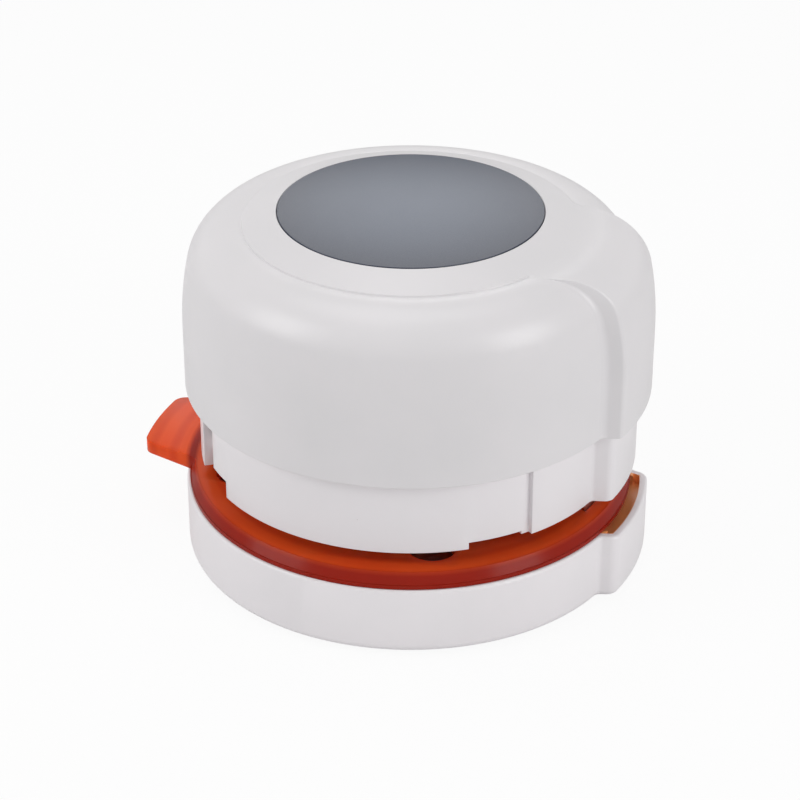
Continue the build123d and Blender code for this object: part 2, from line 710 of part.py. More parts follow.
# Moving pieces
save(make_lock_ring(), "lock_ring")
save(make_cap(), "cap")
save(make_top_disc(), "top_disc")
save(make_punch_holder(), "punch_holder")
save(make_punch(), "punch")
for name, angle in zip(("latch_leg_right", "latch_leg_left"), leg_angles):
    save(make_latch_leg(angle), name)
spring = make_spring()
print("least gap between two turns of a return spring:", round(spring_self_gap(), 2))
for number, angle in enumerate(spring_angles, 1):
    save(at(spring_ring_r, angle, 0) * Rot(0, 0, angle) * spring, "return_spring_" + str(number))
foot = rod(foot_r, 0, foot_t)
foot = fillet(foot.edges().group_by(Axis.Z)[0], foot_proud / 2)
for number, angle in enumerate(foot_angles, 1):
    save(at(foot_ring_r, angle, 0) * foot, "rubber_foot_" + str(number))
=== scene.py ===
# %% [markdown]
# A circle punch that cuts 2 inch discs out of paper. Three white mouldings share one outline: a
# circle with a flat-sided bulge on one side. A see-through orange lock ring lies between them, and
# a satin grey plate marks the size of the disc on top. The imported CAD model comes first, because
# every shape here starts from its sizes.

# %% Load the frame
from math import atan, atan2, cos, pi, radians, sin, sqrt, tan

import bmesh
import bpy
from mathutils import Matrix, Vector


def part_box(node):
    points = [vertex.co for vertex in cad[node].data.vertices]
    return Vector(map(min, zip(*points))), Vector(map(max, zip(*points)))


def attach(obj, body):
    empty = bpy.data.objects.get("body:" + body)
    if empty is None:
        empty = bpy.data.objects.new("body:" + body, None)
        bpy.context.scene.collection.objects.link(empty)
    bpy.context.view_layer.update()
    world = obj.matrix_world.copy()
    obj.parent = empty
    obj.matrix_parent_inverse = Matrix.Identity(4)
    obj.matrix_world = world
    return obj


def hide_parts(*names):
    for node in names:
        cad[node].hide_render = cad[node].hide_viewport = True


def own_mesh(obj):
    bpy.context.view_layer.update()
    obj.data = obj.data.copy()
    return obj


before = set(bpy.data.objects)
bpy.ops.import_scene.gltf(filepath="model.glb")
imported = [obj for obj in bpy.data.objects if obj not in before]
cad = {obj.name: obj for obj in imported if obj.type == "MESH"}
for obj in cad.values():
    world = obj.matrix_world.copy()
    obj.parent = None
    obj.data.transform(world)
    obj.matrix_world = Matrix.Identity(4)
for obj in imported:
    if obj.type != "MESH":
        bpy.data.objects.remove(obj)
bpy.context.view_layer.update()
mm = 0.001

# %% [markdown]
# The photograph was taken with a long lens from a little above, so upright edges stay nearly
# parallel. The camera stands 17.5 degrees round from the +X side, with the bulge to its right. Its
# direction is built as a vector and turned into a rotation with to_track_quat.

# %% Camera
camera_reach = 430.5 * mm
camera_height = 273.0 * mm
camera_round = radians(17.5)
camera_pitch = radians(29.40)
camera_yaw = radians(-0.27)
camera_lens = 112.5
camera_sensor = 36.0


def make_camera():
    data = bpy.data.cameras.new("camera")
    data.lens = camera_lens
    data.sensor_width = camera_sensor
    camera = bpy.data.objects.new("camera", data)
    flat = cos(camera_pitch)
    heading = camera_round - camera_yaw
    forward = Vector((-cos(heading) * flat, -sin(heading) * flat, -sin(camera_pitch)))
    camera.rotation_euler = forward.to_track_quat("-Z", "Y").to_euler()
    camera.location = (camera_reach * cos(camera_round), camera_reach * sin(camera_round),
                       camera_height)
    bpy.context.scene.collection.objects.link(camera)
    bpy.context.scene.camera = camera
    print("camera looks along", [round(v, 3) for v in forward])


make_camera()

# %% [markdown]
# Shader nodes are placed by one helper, so that a material reads as a list of what it is made of.
# A value that is a socket becomes a link, and any other value is set on the node's input. Sums,
# products and fades between two limits are so common that they have helpers of their own.


# %% Helpers for shader nodes
def put(tree, kind, options=None, **inputs):
    node = tree.nodes.new("ShaderNode" + kind)
    for name, value in (options or {}).items():
        setattr(node, name, value)
    for name, value in inputs.items():
        connect(tree, node.inputs[name.replace("_", " ")], value)
    return node


def connect(tree, socket, value):
    if isinstance(value, bpy.types.NodeSocket):
        tree.links.new(value, socket)
    else:
        socket.default_value = value


def blend_colours(tree, factor, first, second):
    node = tree.nodes.new("ShaderNodeMix")
    node.data_type = "RGBA"
    connect(tree, node.inputs[0], factor)
    connect(tree, node.inputs[6], first)
    connect(tree, node.inputs[7], second)
    return node.outputs[2]


def combine(tree, operation, first, second):
    node = put(tree, "Math", {"operation": operation})
    connect(tree, node.inputs[0], first)
    connect(tree, node.inputs[1], second)
    return node.outputs[0]


def multiply(tree, first, second):
    return combine(tree, "MULTIPLY", first, second)


def fade_between(tree, value, start, end, first, last):
    fade = put(tree, "MapRange", Value=value, From_Min=start, From_Max=end, To_Min=first, To_Max=last)
    return fade.outputs["Result"]


def mix_surfaces(tree, share, first, second, output):
    mixed = put(tree, "MixShader", Fac=share)
    tree.links.new(first, mixed.inputs[1])
    tree.links.new(second, mixed.inputs[2])
    tree.links.new(mixed.outputs["Shader"], tree.nodes[output].inputs["Surface"])


def opaque(red, green, blue):
    return (red, green, blue, 1.0)


# %% [markdown]
# Four effects are used by several materials, so each is a node group with named inputs, built
# once. Tone drift is the slow change of colour that keeps a moulding from looking flat. Fine grain
# is the texture of the mould's steel. Specks are the few dust grains that cling to plastic. Edge
# wear finds the convex edges, where handling polishes a surface.

# %% Node groups
full_wear = 0.62


def new_group(name, inputs, outputs):
    group = bpy.data.node_groups.new(name, "ShaderNodeTree")
    for label, kind in inputs:
        group.interface.new_socket(label, in_out="INPUT", socket_type="NodeSocket" + kind)
    for label, kind in outputs:
        group.interface.new_socket(label, in_out="OUTPUT", socket_type="NodeSocket" + kind)
    start = group.nodes.new("NodeGroupInput")
    end = group.nodes.new("NodeGroupOutput")
    return group, start.outputs, end.inputs


def make_tone_drift():
    sockets = [("Vector", "Vector"), ("Scale", "Float"), ("Colour", "Color"), ("Other colour", "Color")]
    group, given, result = new_group("tone_drift", sockets, [("Colour", "Color")])
    noise = put(group, "TexNoise", Vector=given["Vector"], Scale=given["Scale"], Detail=3.0)
    share = fade_between(group, noise.outputs["Fac"], 0.35, 0.65, 0.0, 1.0)
    mixed = blend_colours(group, share, given["Colour"], given["Other colour"])
    group.links.new(mixed, result["Colour"])
    return group


def make_fine_grain():
    sockets = [("Vector", "Vector"), ("Scale", "Float"), ("Wave scale", "Float"), ("Wave share", "Float")]
    group, given, result = new_group("fine_grain", sockets, [("Height", "Float"), ("Value", "Float")])
    grain = put(group, "TexNoise", Vector=given["Vector"], Scale=given["Scale"], Detail=4.0)
    wave = put(group, "TexNoise", Vector=given["Vector"], Scale=given["Wave scale"], Detail=1.0)
    lifted = multiply(group, wave.outputs["Fac"], given["Wave share"])
    total = combine(group, "ADD", grain.outputs["Fac"], lifted)
    group.links.new(total, result["Height"])
    group.links.new(grain.outputs["Fac"], result["Value"])
    return group


def make_specks():
    sockets = [("Vector", "Vector"), ("Scale", "Float"), ("Reach", "Float"), ("Rarity", "Float")]
    group, given, result = new_group("specks", sockets, [("Mask", "Float")])
    cells = put(group, "TexVoronoi", Vector=given["Vector"], Scale=given["Scale"])
    near = fade_between(group, cells.outputs["Distance"], 0.0, given["Reach"], 1.0, 0.0)
    tint = put(group, "SeparateColor", Color=cells.outputs["Color"])
    chosen = combine(group, "GREATER_THAN", tint.outputs["Red"], given["Rarity"])
    group.links.new(multiply(group, near, chosen), result["Mask"])
    return group


def make_edge_wear():
    sockets = [("Vector", "Vector"), ("Scale", "Float"), ("Level", "Float")]
    group, given, result = new_group("edge_wear", sockets, [("Mask", "Float")])
    edges = put(group, "NewGeometry").outputs["Pointiness"]
    noise = put(group, "TexNoise", Vector=given["Vector"], Scale=given["Scale"], Detail=5.0)
    found = fade_between(group, edges, given["Level"], full_wear, 0.0, 1.0)
    group.links.new(multiply(group, found, noise.outputs["Fac"]), result["Mask"])
    return group


tone_drift = make_tone_drift()
fine_grain = make_fine_grain()
specks = make_specks()
edge_wear = make_edge_wear()
print("node groups:", [g.name for g in bpy.data.node_groups])

# %% [markdown]
# Each finish is one material with a Principled shader. The patterns read Object coordinates, which
# are metres in the frame, so a scale is one over the size of the pattern. A value that is the same
# all over the surface is set on the shader itself. Several masks start from the distance to the
# punch's axis.


# %% Helpers for materials
def per(size):
    return 1 / (size * mm)


def use(tree, group, **inputs):
    node = tree.nodes.new("ShaderNodeGroup")
    node.node_tree = group
    for name, value in inputs.items():
        connect(tree, node.inputs[name.replace("_", " ")], value)
    return node


def new_material(name, roughness, **values):
    material = bpy.data.materials.new(name)
    material.use_nodes = True
    tree = material.node_tree
    shader = tree.nodes["Principled BSDF"]
    shader.inputs["Roughness"].default_value = roughness
    for label, value in values.items():
        shader.inputs[label.replace("_", " ")].default_value = value
    place = put(tree, "TexCoord").outputs["Object"]
    return material, tree, shader, place


def add_colour(tree, shader, place, colour, other, size):
    drift = use(tree, tone_drift, Vector=place, Scale=per(size), Colour=colour, Other_colour=other)
    tree.links.new(drift.outputs["Colour"], shader.inputs["Base Color"])
    return drift.outputs["Colour"]


def add_grain(tree, shader, place, size, wave_size, wave_share, height, roughness_range):
    grain = use(tree, fine_grain, Vector=place, Scale=per(size), Wave_scale=per(wave_size),
                Wave_share=wave_share)
    bump = put(tree, "Bump", Height=grain.outputs["Height"], Distance=height * mm, Strength=1.0)
    tree.links.new(bump.outputs["Normal"], shader.inputs["Normal"])
    roughness = fade_between(tree, grain.outputs["Value"], 0.3, 0.7, *roughness_range)
    tree.links.new(roughness, shader.inputs["Roughness"])


def add_specks(tree, shader, place, colour, speck_colour, size, reach, rarity):
    found = use(tree, specks, Vector=place, Scale=per(size), Reach=reach, Rarity=rarity)
    mixed = blend_colours(tree, found.outputs["Mask"], colour, speck_colour)
    tree.links.new(mixed, shader.inputs["Base Color"])
    return mixed


def distance_from_axis(tree, parts):
    flat = put(tree, "CombineXYZ", X=parts.outputs["X"], Y=parts.outputs["Y"])
    reach = put(tree, "VectorMath", {"operation": "LENGTH"})
    connect(tree, reach.inputs[0], flat.outputs["Vector"])
    return reach.outputs["Value"]


# %% [markdown]
# White plastic: the cap, the housing and the base are glossy ABS with a faint warm tint. The light
# hardly changes over it, so its life comes from soft highlights, from a very fine grain that keeps
# them from being mirror-like, and from a few specks.

# %% White plastic
dust = opaque(0.45, 0.42, 0.40)


def make_white_plastic(name, colour, other):
    material, tree, shader, place = new_material(name, 0.34, IOR=1.53)
    tone = add_colour(tree, shader, place, colour, other, 18)
    specked = add_specks(tree, shader, place, tone, dust, 3.2, 0.035, 0.93)
    add_grain(tree, shader, place, 0.35, 14, 2.0, 0.012, (0.31, 0.38))
    return material, tree, shader, place, specked


white_plastic = make_white_plastic("white_plastic", opaque(0.75, 0.728, 0.743),
                                   opaque(0.73, 0.713, 0.727))[0]

# %% [markdown]
# Lower mouldings: the housing and the base are the same plastic as the cap, painted in lighter
# tones so that they come out brighter than the cap: painted light. The base has a shallow pocket
# beside the ring, and the ring throws its orange light into it. Bounced light alone would leave
# that too weak, so painted orange light from the ring is put on the base there. The mask for it is
# a product of simple limits: inside the pocket's round wall, between its flanks, above its floor
# and on the bulge's side.

# %% White plastic of the lower mouldings
ring_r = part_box("lock_ring")[1].x
base_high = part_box("base_tray")[1]
pocket_wall = 1.5 * mm
pocket_r = base_high.y - pocket_wall
pocket_low_z = 11.5 * mm
pocket_start_y = 20 * mm
flank_out = 23.1 * mm
flank_lean = radians(13.7)
wall_fade = 0.12 * mm
floor_fade = 0.2 * mm
start_fade = 4 * mm
# Painted light: the colour of the orange light that the ring throws into the pocket.
painted_ring_light = opaque(1.0, 0.42, 0.15)


def inward_from_flanks(tree, parts):
    across = put(tree, "Math", {"operation": "ABSOLUTE"})
    connect(tree, across.inputs[0], parts.outputs["X"])
    sideways = multiply(tree, across.outputs[0], cos(flank_lean))
    total = combine(tree, "ADD", sideways, multiply(tree, parts.outputs["Y"], sin(flank_lean)))
    edge = flank_out - pocket_wall
    return fade_between(tree, total, edge, edge + wall_fade, 1.0, 0.0)


def painted_ring_light_mask(tree, place):
    parts = put(tree, "SeparateXYZ", Vector=place)
    reach = distance_from_axis(tree, parts)
    inside = fade_between(tree, reach, pocket_r, pocket_r + wall_fade, 1.0, 0.0)
    above = fade_between(tree, parts.outputs["Z"], pocket_low_z, pocket_low_z + floor_fade, 0.0, 1.0)
    start, end = pocket_start_y, pocket_start_y + start_fade
    behind = fade_between(tree, parts.outputs["Y"], start, end, 0.0, 1.0)
    between = multiply(tree, behind, inward_from_flanks(tree, parts))
    return multiply(tree, multiply(tree, inside, above), between)


def make_white_base():
    # Painted light: lighter than the cap's plastic, so that the base comes out brighter.
    made = make_white_plastic("white_base", opaque(0.84, 0.808, 0.828), opaque(0.82, 0.793, 0.812))
    material, tree, shader, place, specked = made
    # Painted light: the ring's orange light in the pocket is painted onto the base's colour there.
    painted_ring_light_colour = blend_colours(tree, painted_ring_light_mask(tree, place), specked, painted_ring_light)
    tree.links.new(painted_ring_light_colour, shader.inputs["Base Color"])
    return material


# Painted light: lighter than the cap's plastic, so that the housing comes out brighter.
white_housing = make_white_plastic("white_housing", opaque(0.82, 0.79, 0.81),
                                   opaque(0.80, 0.775, 0.793))[0]
white_base = make_white_base()

# %% [markdown]
# Orange ring: clear polystyrene dyed orange red, 3 mm thick. Light passes through it, picks up the
# colour and comes back from the white base below, so screws under it show as fuzzy dark patches.
# Transmission does that, and the roughness is what blurs them. At the sloped rim light has a
# longer way through the dye and the rim looks darker; that is painted here as painted shade, a
# darker red on a mask made from the distance to the axis, which picks out the rim and leaves the
# thumb tab alone. Faint circles mark where the melt flowed round the mould.


# %% Orange ring
rim_w = 1.3 * mm
rim_fade = 0.35 * mm


# Painted shade: a mask for the sloped rim, where the ring is given a darker red.
def painted_rim_shade_mask(tree, place):
    reach = distance_from_axis(tree, put(tree, "SeparateXYZ", Vector=place))
    start = ring_r - rim_w
    inner = fade_between(tree, reach, start - rim_fade, start + rim_fade, 0.0, 1.0)
    outer = fade_between(tree, reach, ring_r, ring_r + 3 * rim_fade, 1.0, 0.0)
    return multiply(tree, inner, outer)


def make_orange_clear():
    material, tree, shader, place = new_material("orange_clear", 0.2, IOR=1.25, Transmission_Weight=0.4)
    shader.inputs["Specular IOR Level"].default_value = 0.2
    tone = add_colour(tree, shader, place, opaque(1.0, 0.130, 0.024), opaque(0.95, 0.105, 0.020), 12)
    waves = put(tree, "TexWave", {"wave_type": "RINGS", "rings_direction": "Z"}, Vector=place,
                Scale=per(2.3) / (2 * pi), Distortion=0.5, Detail=1.0)
    streak = fade_between(tree, waves.outputs["Fac"], 0.4, 1.0, 0.0, 0.4)
    streaked = blend_colours(tree, streak, tone, opaque(0.66, 0.050, 0.010))
    # Painted shade: the rim gets a darker red, standing in for light that goes a longer way through the
    # ring.
    rim_with_painted_shade = blend_colours(tree, painted_rim_shade_mask(tree, place), streaked, opaque(0.41, 0.024, 0.010))
    tree.links.new(rim_with_painted_shade, shader.inputs["Base Color"])
    add_grain(tree, shader, place, 0.5, 9, 3.0, 0.01, (0.14, 0.22))
    return material


orange_clear = make_orange_clear()


# %% [markdown]
# Grey plate: a satin sheet in the top of the cap, dished by a millimetre or two for the palm. The
# dish gathers a soft sheen in the middle. It is too shallow to need geometry, so a bump made
# from the distance to the axis tilts the light instead, and a painted sheen makes the colour
# lighter in the middle and darker towards the rim.


# %% Grey plate
def share_of_radius(tree, place, radius):
    reach = distance_from_axis(tree, put(tree, "SeparateXYZ", Vector=place))
    share = multiply(tree, reach, 1 / radius)
    return multiply(tree, share, share)


def add_dish(tree, shader, height, depth):
    grain = shader.inputs["Normal"].links[0].from_socket
    dish = put(tree, "Bump", Height=height, Distance=depth * mm, Strength=1.0, Normal=grain)
    tree.links.new(dish.outputs["Normal"], shader.inputs["Normal"])


def make_grey_satin():
    material, tree, shader, place = new_material("grey_satin", 0.34, IOR=1.5)
    share = share_of_radius(tree, place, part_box("top_disc")[1].x)
    colour = add_colour(tree, shader, place, opaque(0.084, 0.104, 0.148), opaque(0.079, 0.098, 0.141), 16)
    # Painted sheen: the colour is lighter in the middle and darker towards the rim, a painted highlight of
    # the dish.
    painted_sheen_colour = blend_colours(tree, share, colour, opaque(0.014, 0.022, 0.048))
    add_specks(tree, shader, place, painted_sheen_colour, opaque(0.42, 0.43, 0.45), 2.6, 0.03, 0.95)
    add_grain(tree, shader, place, 0.22, 20, 0.5, 0.01, (0.30, 0.38))
    add_dish(tree, shader, share, 1.8)
    return material


grey_satin = make_grey_satin()


# %% [markdown]
# Steel: the die, its keeper, the guide plate and the punch are hardened and ground. Fine rings
# from turning cross a slow drift of tone, and the edges are a little brighter. The screws are
# blackened, and the springs are bright wire.


# %% Steels, screws and springs
def make_metal(name, colour, other, roughness_range, ring_size, worn):
    material, tree, shader, place = new_material(name, roughness_range[0], Metallic=1.0)
    tone = add_colour(tree, shader, place, colour, other, 9)
    wear = use(tree, edge_wear, Vector=place, Scale=per(1.2), Level=0.53)
    tree.links.new(blend_colours(tree, wear.outputs["Mask"], tone, worn), shader.inputs["Base Color"])
    cut = put(tree, "TexWave", {"wave_type": "RINGS", "rings_direction": "Z"}, Vector=place,
              Scale=per(ring_size) / (2 * pi), Distortion=1.2, Detail=2.0)
    roughness = fade_between(tree, cut.outputs["Fac"], 0.0, 1.0, *roughness_range)
    tree.links.new(roughness, shader.inputs["Roughness"])
    bump = put(tree, "Bump", Height=cut.outputs["Fac"], Distance=0.004 * mm, Strength=0.6)
    tree.links.new(bump.outputs["Normal"], shader.inputs["Normal"])
    return material


ground_steel = make_metal("ground_steel", opaque(0.30, 0.30, 0.31), opaque(0.24, 0.24, 0.25),
                          (0.28, 0.42), 0.5, opaque(0.55, 0.55, 0.56))
bright_steel = make_metal("bright_steel", opaque(0.55, 0.55, 0.56), opaque(0.48, 0.48, 0.50),
                          (0.22, 0.34), 0.6, opaque(0.75, 0.75, 0.76))
black_oxide = make_metal("black_oxide", opaque(0.035, 0.034, 0.036), opaque(0.025, 0.024, 0.026),
                         (0.34, 0.5), 0.3, opaque(0.16, 0.15, 0.15))


# %% [markdown]
# Plain plastics and rubber: the holder and the latch legs are grey acetal, which is waxy and soft
# in its highlights, and the feet are black rubber with a matt, dusty skin.


# %% Grey plastic and rubber
def make_plain(name, colour, other, size, grain, height, roughness_range):
    material, tree, shader, place = new_material(name, roughness_range[0], IOR=1.48)
    tone = add_colour(tree, shader, place, colour, other, size)
    wear = use(tree, edge_wear, Vector=place, Scale=per(2), Level=0.54)
    worn = opaque(*(0.5 + 0.5 * part for part in colour[:3]))
    tree.links.new(blend_colours(tree, wear.outputs["Mask"], tone, worn), shader.inputs["Base Color"])
    add_grain(tree, shader, place, grain, 6, 1.0, height, roughness_range)
    return material


grey_acetal = make_plain("grey_acetal", opaque(0.30, 0.31, 0.33), opaque(0.27, 0.28, 0.30),
                         8, 0.4, 0.015, (0.42, 0.52))
black_rubber = make_plain("black_rubber", opaque(0.030, 0.030, 0.032), opaque(0.042, 0.041, 0.042),
                          3, 0.3, 0.05, (0.75, 0.9))
print("materials:", [m.name for m in (white_plastic, orange_clear, grey_satin, ground_steel, black_rubber)])

# %% [markdown]
# The inner pieces have their right shape already, so their CAD solids stay and only take a better
# finish. A material goes on a CAD node through the node's own material slot.

# %% Finishes for the CAD nodes
finishes = {"die_plate": ground_steel, "keeper_ring": ground_steel, "guide_plate": ground_steel,
            "punch": bright_steel, "back_spacer": bright_steel, "punch_holder": grey_acetal,
            "top_disc": grey_satin}
for name in cad:
    if "screws" in name:
        finishes[name] = black_oxide
    elif "leg" in name:
        finishes[name] = grey_acetal
    elif "foot" in name:
        finishes[name] = black_rubber


def give_finish(name, material):
    for slot in cad[name].material_slots:
        slot.material = material


for name, material in finishes.items():
    give_finish(name, material)
print("CAD nodes with a new finish:", len(finishes))

# %% [markdown]
# A piece that takes a CAD node's place needs the same four steps: a mesh from the bmesh, smooth
# shading with sharp corners kept, a material, and the body that it rides on.


# %% Helper for new pieces
sharp_angle = radians(38)


def make_piece(name, shape, material, body, replaced):
    mesh = bpy.data.meshes.new(name)
    shape.to_mesh(mesh)
    shape.free()
    mesh.shade_smooth()
    mesh.set_sharp_from_angle(angle=sharp_angle)
    mesh.materials.append(material)
    piece = bpy.data.objects.new(name, mesh)
    bpy.context.scene.collection.objects.link(piece)
    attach(piece, body)
    if replaced:
        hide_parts(replaced)
    print(name, "has", len(mesh.polygons), "faces")
    return piece


# %% [markdown]
# The cap is one smooth shell. A CAD union leaves the root of its bulge sharp, while the moulded
# one is soft, so the shell is drawn again here. One ring of vertices follows the outline, and it is
# extruded from level to level: over the crown, down the shoulder and the wall, round the lower
# edge, and up the inside. Every ring has the same count on each stretch of the outline, so the
# faces run straight down the flanks of the bulge.

# %% Sizes of the cap, from its CAD node
cap_low, cap_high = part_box("cap")
disc_low, disc_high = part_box("top_disc")
cap_r = cap_high.x
bulge_out = cap_high.y - cap_r
cap_edge_z = cap_low.z
cap_top_z = cap_high.z
disc_edge_r = disc_high.x + 0.1 * mm
cap_wall = 2.1 * mm
roof_t = 2.25 * mm
root_round = 2.3 * mm
corner_round = 1.0 * mm
edge_round = 0.35 * mm
crown_drop = 2.4 * mm
crown_z = cap_top_z - crown_drop
crown_r = 32.1 * mm
crown_step = 0.3 * mm
crown_blend_r = 17.0 * mm
shoulder_lower_r = 60.0 * mm
shoulder_upper_r = 9.5 * mm
shoulder_split = radians(12)

# %% [markdown]
# The outline is worked out for its right half and mirrored. It runs round the circle, through the
# soft root, straight up the flank, round the corner and along the end of the bulge. Each stretch
# has a fixed count of points, so outlines of different sizes match point by point.

# %% Outline with the bulge
front_steps = 96
root_steps = 10
corner_steps = 8
end_steps = 28


def arc(centre, radius, start, end, count):
    angles = [start + (end - start) * step / count for step in range(count)]
    return [centre + radius * Vector((cos(angle), sin(angle))) for angle in angles]


def beside_flank(distance, radius):
    across = Vector((cos(flank_lean), sin(flank_lean)))
    along = Vector((-sin(flank_lean), cos(flank_lean)))
    return across * distance + along * sqrt(radius ** 2 - distance ** 2)


def bulged_outline(circle_r, flank, root, corner):
    bulge_r = circle_r + bulge_out
    root_centre = beside_flank(flank + root, circle_r + root)
    corner_centre = beside_flank(flank - corner, bulge_r - corner)
    root_angle = atan2(root_centre.y, root_centre.x)
    corner_angle = atan2(corner_centre.y, corner_centre.x)
    middle = Vector((0, 0))
    right = arc(middle, circle_r, -pi / 2, root_angle, front_steps)
    right += arc(root_centre, root, root_angle + pi, flank_lean + pi, root_steps)
    right += arc(root_centre, root, flank_lean + pi, flank_lean, 1)
    right += arc(corner_centre, corner, flank_lean, corner_angle, corner_steps)
    right += arc(middle, bulge_r, corner_angle, pi / 2, end_steps)
    right.append(Vector((0, bulge_r)))
    left = [Vector((-point.x, point.y)) for point in reversed(right[1:-1])]
    return right + left


def as_circle(outline, radius):
    return [point.normalized() * radius for point in outline]

# %% [markdown]
# The shoulder is two arcs that meet without a kink: a tight one at the top, and a wide one that
# runs down into the wall. A level is an outline and its height. Where the height is None, each
# vertex takes it from the shape of the crown.

# %% Levels of the cap
upper_steps = 16
lower_steps = 5
edge_steps = 4
crease_w = 0.1 * mm
crown_shares = (0.35, 0.6, 0.78, 0.92)
rim_shares = (0.25, 0.5, 0.75)


def shoulder_levels(inset):
    lower = shoulder_lower_r - inset
    upper = shoulder_upper_r - inset
    turn_in = lower - (lower - upper) * cos(shoulder_split)
    turn_z = crown_z - inset - upper
    start_z = turn_z - (lower - upper) * sin(shoulder_split)
    quarter = pi / 2
    levels = []
    for step in range(upper_steps, 0, -1):
        angle = shoulder_split + (quarter - shoulder_split) * step / upper_steps
        levels.append((turn_in - upper * cos(angle), turn_z + upper * sin(angle)))
    for step in range(lower_steps, -1, -1):
        angle = shoulder_split * step / lower_steps
        levels.append((lower - lower * cos(angle), start_z + lower * sin(angle)))
    return levels


def outer_ring(inward):
    return bulged_outline(cap_r - inward, flank_out, root_round, corner_round)


def inner_ring(inward):
    root = root_round + cap_wall
    return bulged_outline(cap_r - cap_wall - inward, flank_out - cap_wall, root, corner_round / 4)


def cap_levels():
    shoulder = shoulder_levels(0)
    top = outer_ring(shoulder[0][0])
    levels = [(as_circle(top, disc_edge_r), disc_low.z),
              (as_circle(top, disc_edge_r), cap_top_z - crease_w),
              (as_circle(top, disc_edge_r + crease_w), cap_top_z)]
    for share in crown_shares:
        levels.append((as_circle(top, disc_edge_r + (crown_r - disc_edge_r) * share), None))
    for radius in (crown_r - crease_w, crown_r, crown_r + crease_w):
        levels.append((as_circle(top, radius), None))
    near = as_circle(top, crown_r + crease_w)
    for share in rim_shares:
        levels.append(([a.lerp(b, share) for a, b in zip(near, top)], None))
    levels += [(outer_ring(inward), z) for inward, z in shoulder]
    levels.append((outer_ring(0), cap_edge_z + edge_round))
    for step in range(1, edge_steps + 1):
        angle = pi / 2 * step / edge_steps
        fall = edge_round * sin(angle)
        levels.append((outer_ring(edge_round * (1 - cos(angle))), cap_edge_z + edge_round - fall))
    levels.append((inner_ring(0), cap_edge_z))
    inside = shoulder_levels(roof_t)
    levels += [(inner_ring(max(inward, 0)), z) for inward, z in reversed(inside)]
    return levels


# %% [markdown]
# The crown slopes gently down from the grey plate. At the front it ends in a small step, which is
# the crease above the shoulder. Over the bulge there is no step, and the slope runs into the level
# top of the bulge through a wide arc.

# %% Height of the crown
crown_slope = (crown_drop - crown_step) / (crown_r - disc_edge_r)
crown_angle = atan(crown_slope)
crown_corner_r = disc_edge_r + crown_drop / crown_slope
crown_tangent = crown_blend_r * tan(crown_angle / 2)


def front_height(radius):
    if radius < crown_r:
        return cap_top_z - crown_slope * (radius - disc_edge_r)
    fall = min((radius - crown_r) / crease_w, 1)
    return crown_z + crown_step * (1 - fall)


def bulge_height(radius):
    start = crown_corner_r - crown_tangent * cos(crown_angle)
    if radius < start:
        return cap_top_z - crown_slope * (radius - disc_edge_r)
    along = min(crown_corner_r + crown_tangent - radius, crown_blend_r)
    if along <= 0:
        return crown_z
    return crown_z + crown_blend_r - sqrt(crown_blend_r ** 2 - along ** 2)


def crown_height(point):
    radius = point.length
    edge = (flank_out - abs(point.x) * cos(flank_lean) - point.y * sin(flank_lean)) / corner_round
    inside = min(max(edge, 0), 1) if point.y > 0 else 0
    inside = inside * inside * (3 - 2 * inside)
    return front_height(radius) + inside * (bulge_height(radius) - front_height(radius))


# %% [markdown]
# Each ring is extruded from the one before it, and its vertices are then moved to their places. A
# single face closes the first ring under the grey plate, and another closes the last one.


# %% Cap shell
def move_ring(ring, outline, z):
    for vert, point in zip(ring, outline):
        vert.co = (point.x, point.y, crown_height(point) if z is None else z)


def next_ring(shape, ring):
    around = zip(ring, ring[1:] + ring[:1])
    edges = [shape.edges.get(pair) for pair in around]
    made = bmesh.ops.extrude_edge_only(shape, edges=edges)["geom"]
    fresh = {item for item in made if isinstance(item, bmesh.types.BMVert)}
    return [next(edge.other_vert(vert) for edge in vert.link_edges if edge.other_vert(vert) in fresh)
            for vert in ring]


def fill_ring(shape, ring):
    around = zip(ring, ring[1:] + ring[:1])
    bmesh.ops.contextual_create(shape, geom=[shape.edges.get(pair) for pair in around])


def make_cap_shell():
    shape = bmesh.new()
    levels = cap_levels()
    outline, z = levels[0]
    ring = list(bmesh.ops.create_circle(shape, segments=len(outline), radius=crown_r)["verts"])
    move_ring(ring, outline, z)
    fill_ring(shape, ring)
    for outline, z in levels[1:]:
        ring = next_ring(shape, ring)
        move_ring(ring, outline, z)
    fill_ring(shape, ring)
    bmesh.ops.recalc_face_normals(shape, faces=shape.faces)
    return make_piece("cap_shell", shape, white_plastic, "press", "cap")


make_cap_shell()

# %% [markdown]
# Under its roof the cap carries a boss and a peg for each return spring and a boss for each latch
# leg. Two lugs below them run in slots of the housing, and two ribs in its grooves.

# %% Bosses under the cap
roof_z = crown_z - roof_t
spring_seat_z = 60.0 * mm
spring_boss_r = 5.2 * mm
peg_r = 2.6 * mm
peg_low_z = 52.0 * mm
spring_angles = (20, 160, -45, -135)
leg_boss_r = 2.9 * mm
leg_boss_z = 62.0 * mm
leg_ring_r = 36.15 * mm
leg_angles = (52, 128)
lug_size = Vector((2.4, 6.2, 2.9)) * mm
lug_middle_z = 38.35 * mm
lug_angles = (-53.55, -126.45)
rib_size = Vector((1.1, 0.9, 6.4)) * mm
rib_angles = (49.65, 130.35)
bury = 0.25 * mm
pin_sides = 40


def middle_of(node):
    low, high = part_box(node)
    return (low + high) / 2


def at_angle(radius, degrees):
    return radius * Vector((cos(radians(degrees)), sin(radians(degrees))))


def add_pin(shape, centre, radius, low, high):
    made = bmesh.ops.create_cone(shape, cap_ends=True, segments=pin_sides, radius1=radius,
                                 radius2=radius, depth=high - low)
    bmesh.ops.translate(shape, vec=Vector((centre.x, centre.y, (low + high) / 2)), verts=made["verts"])


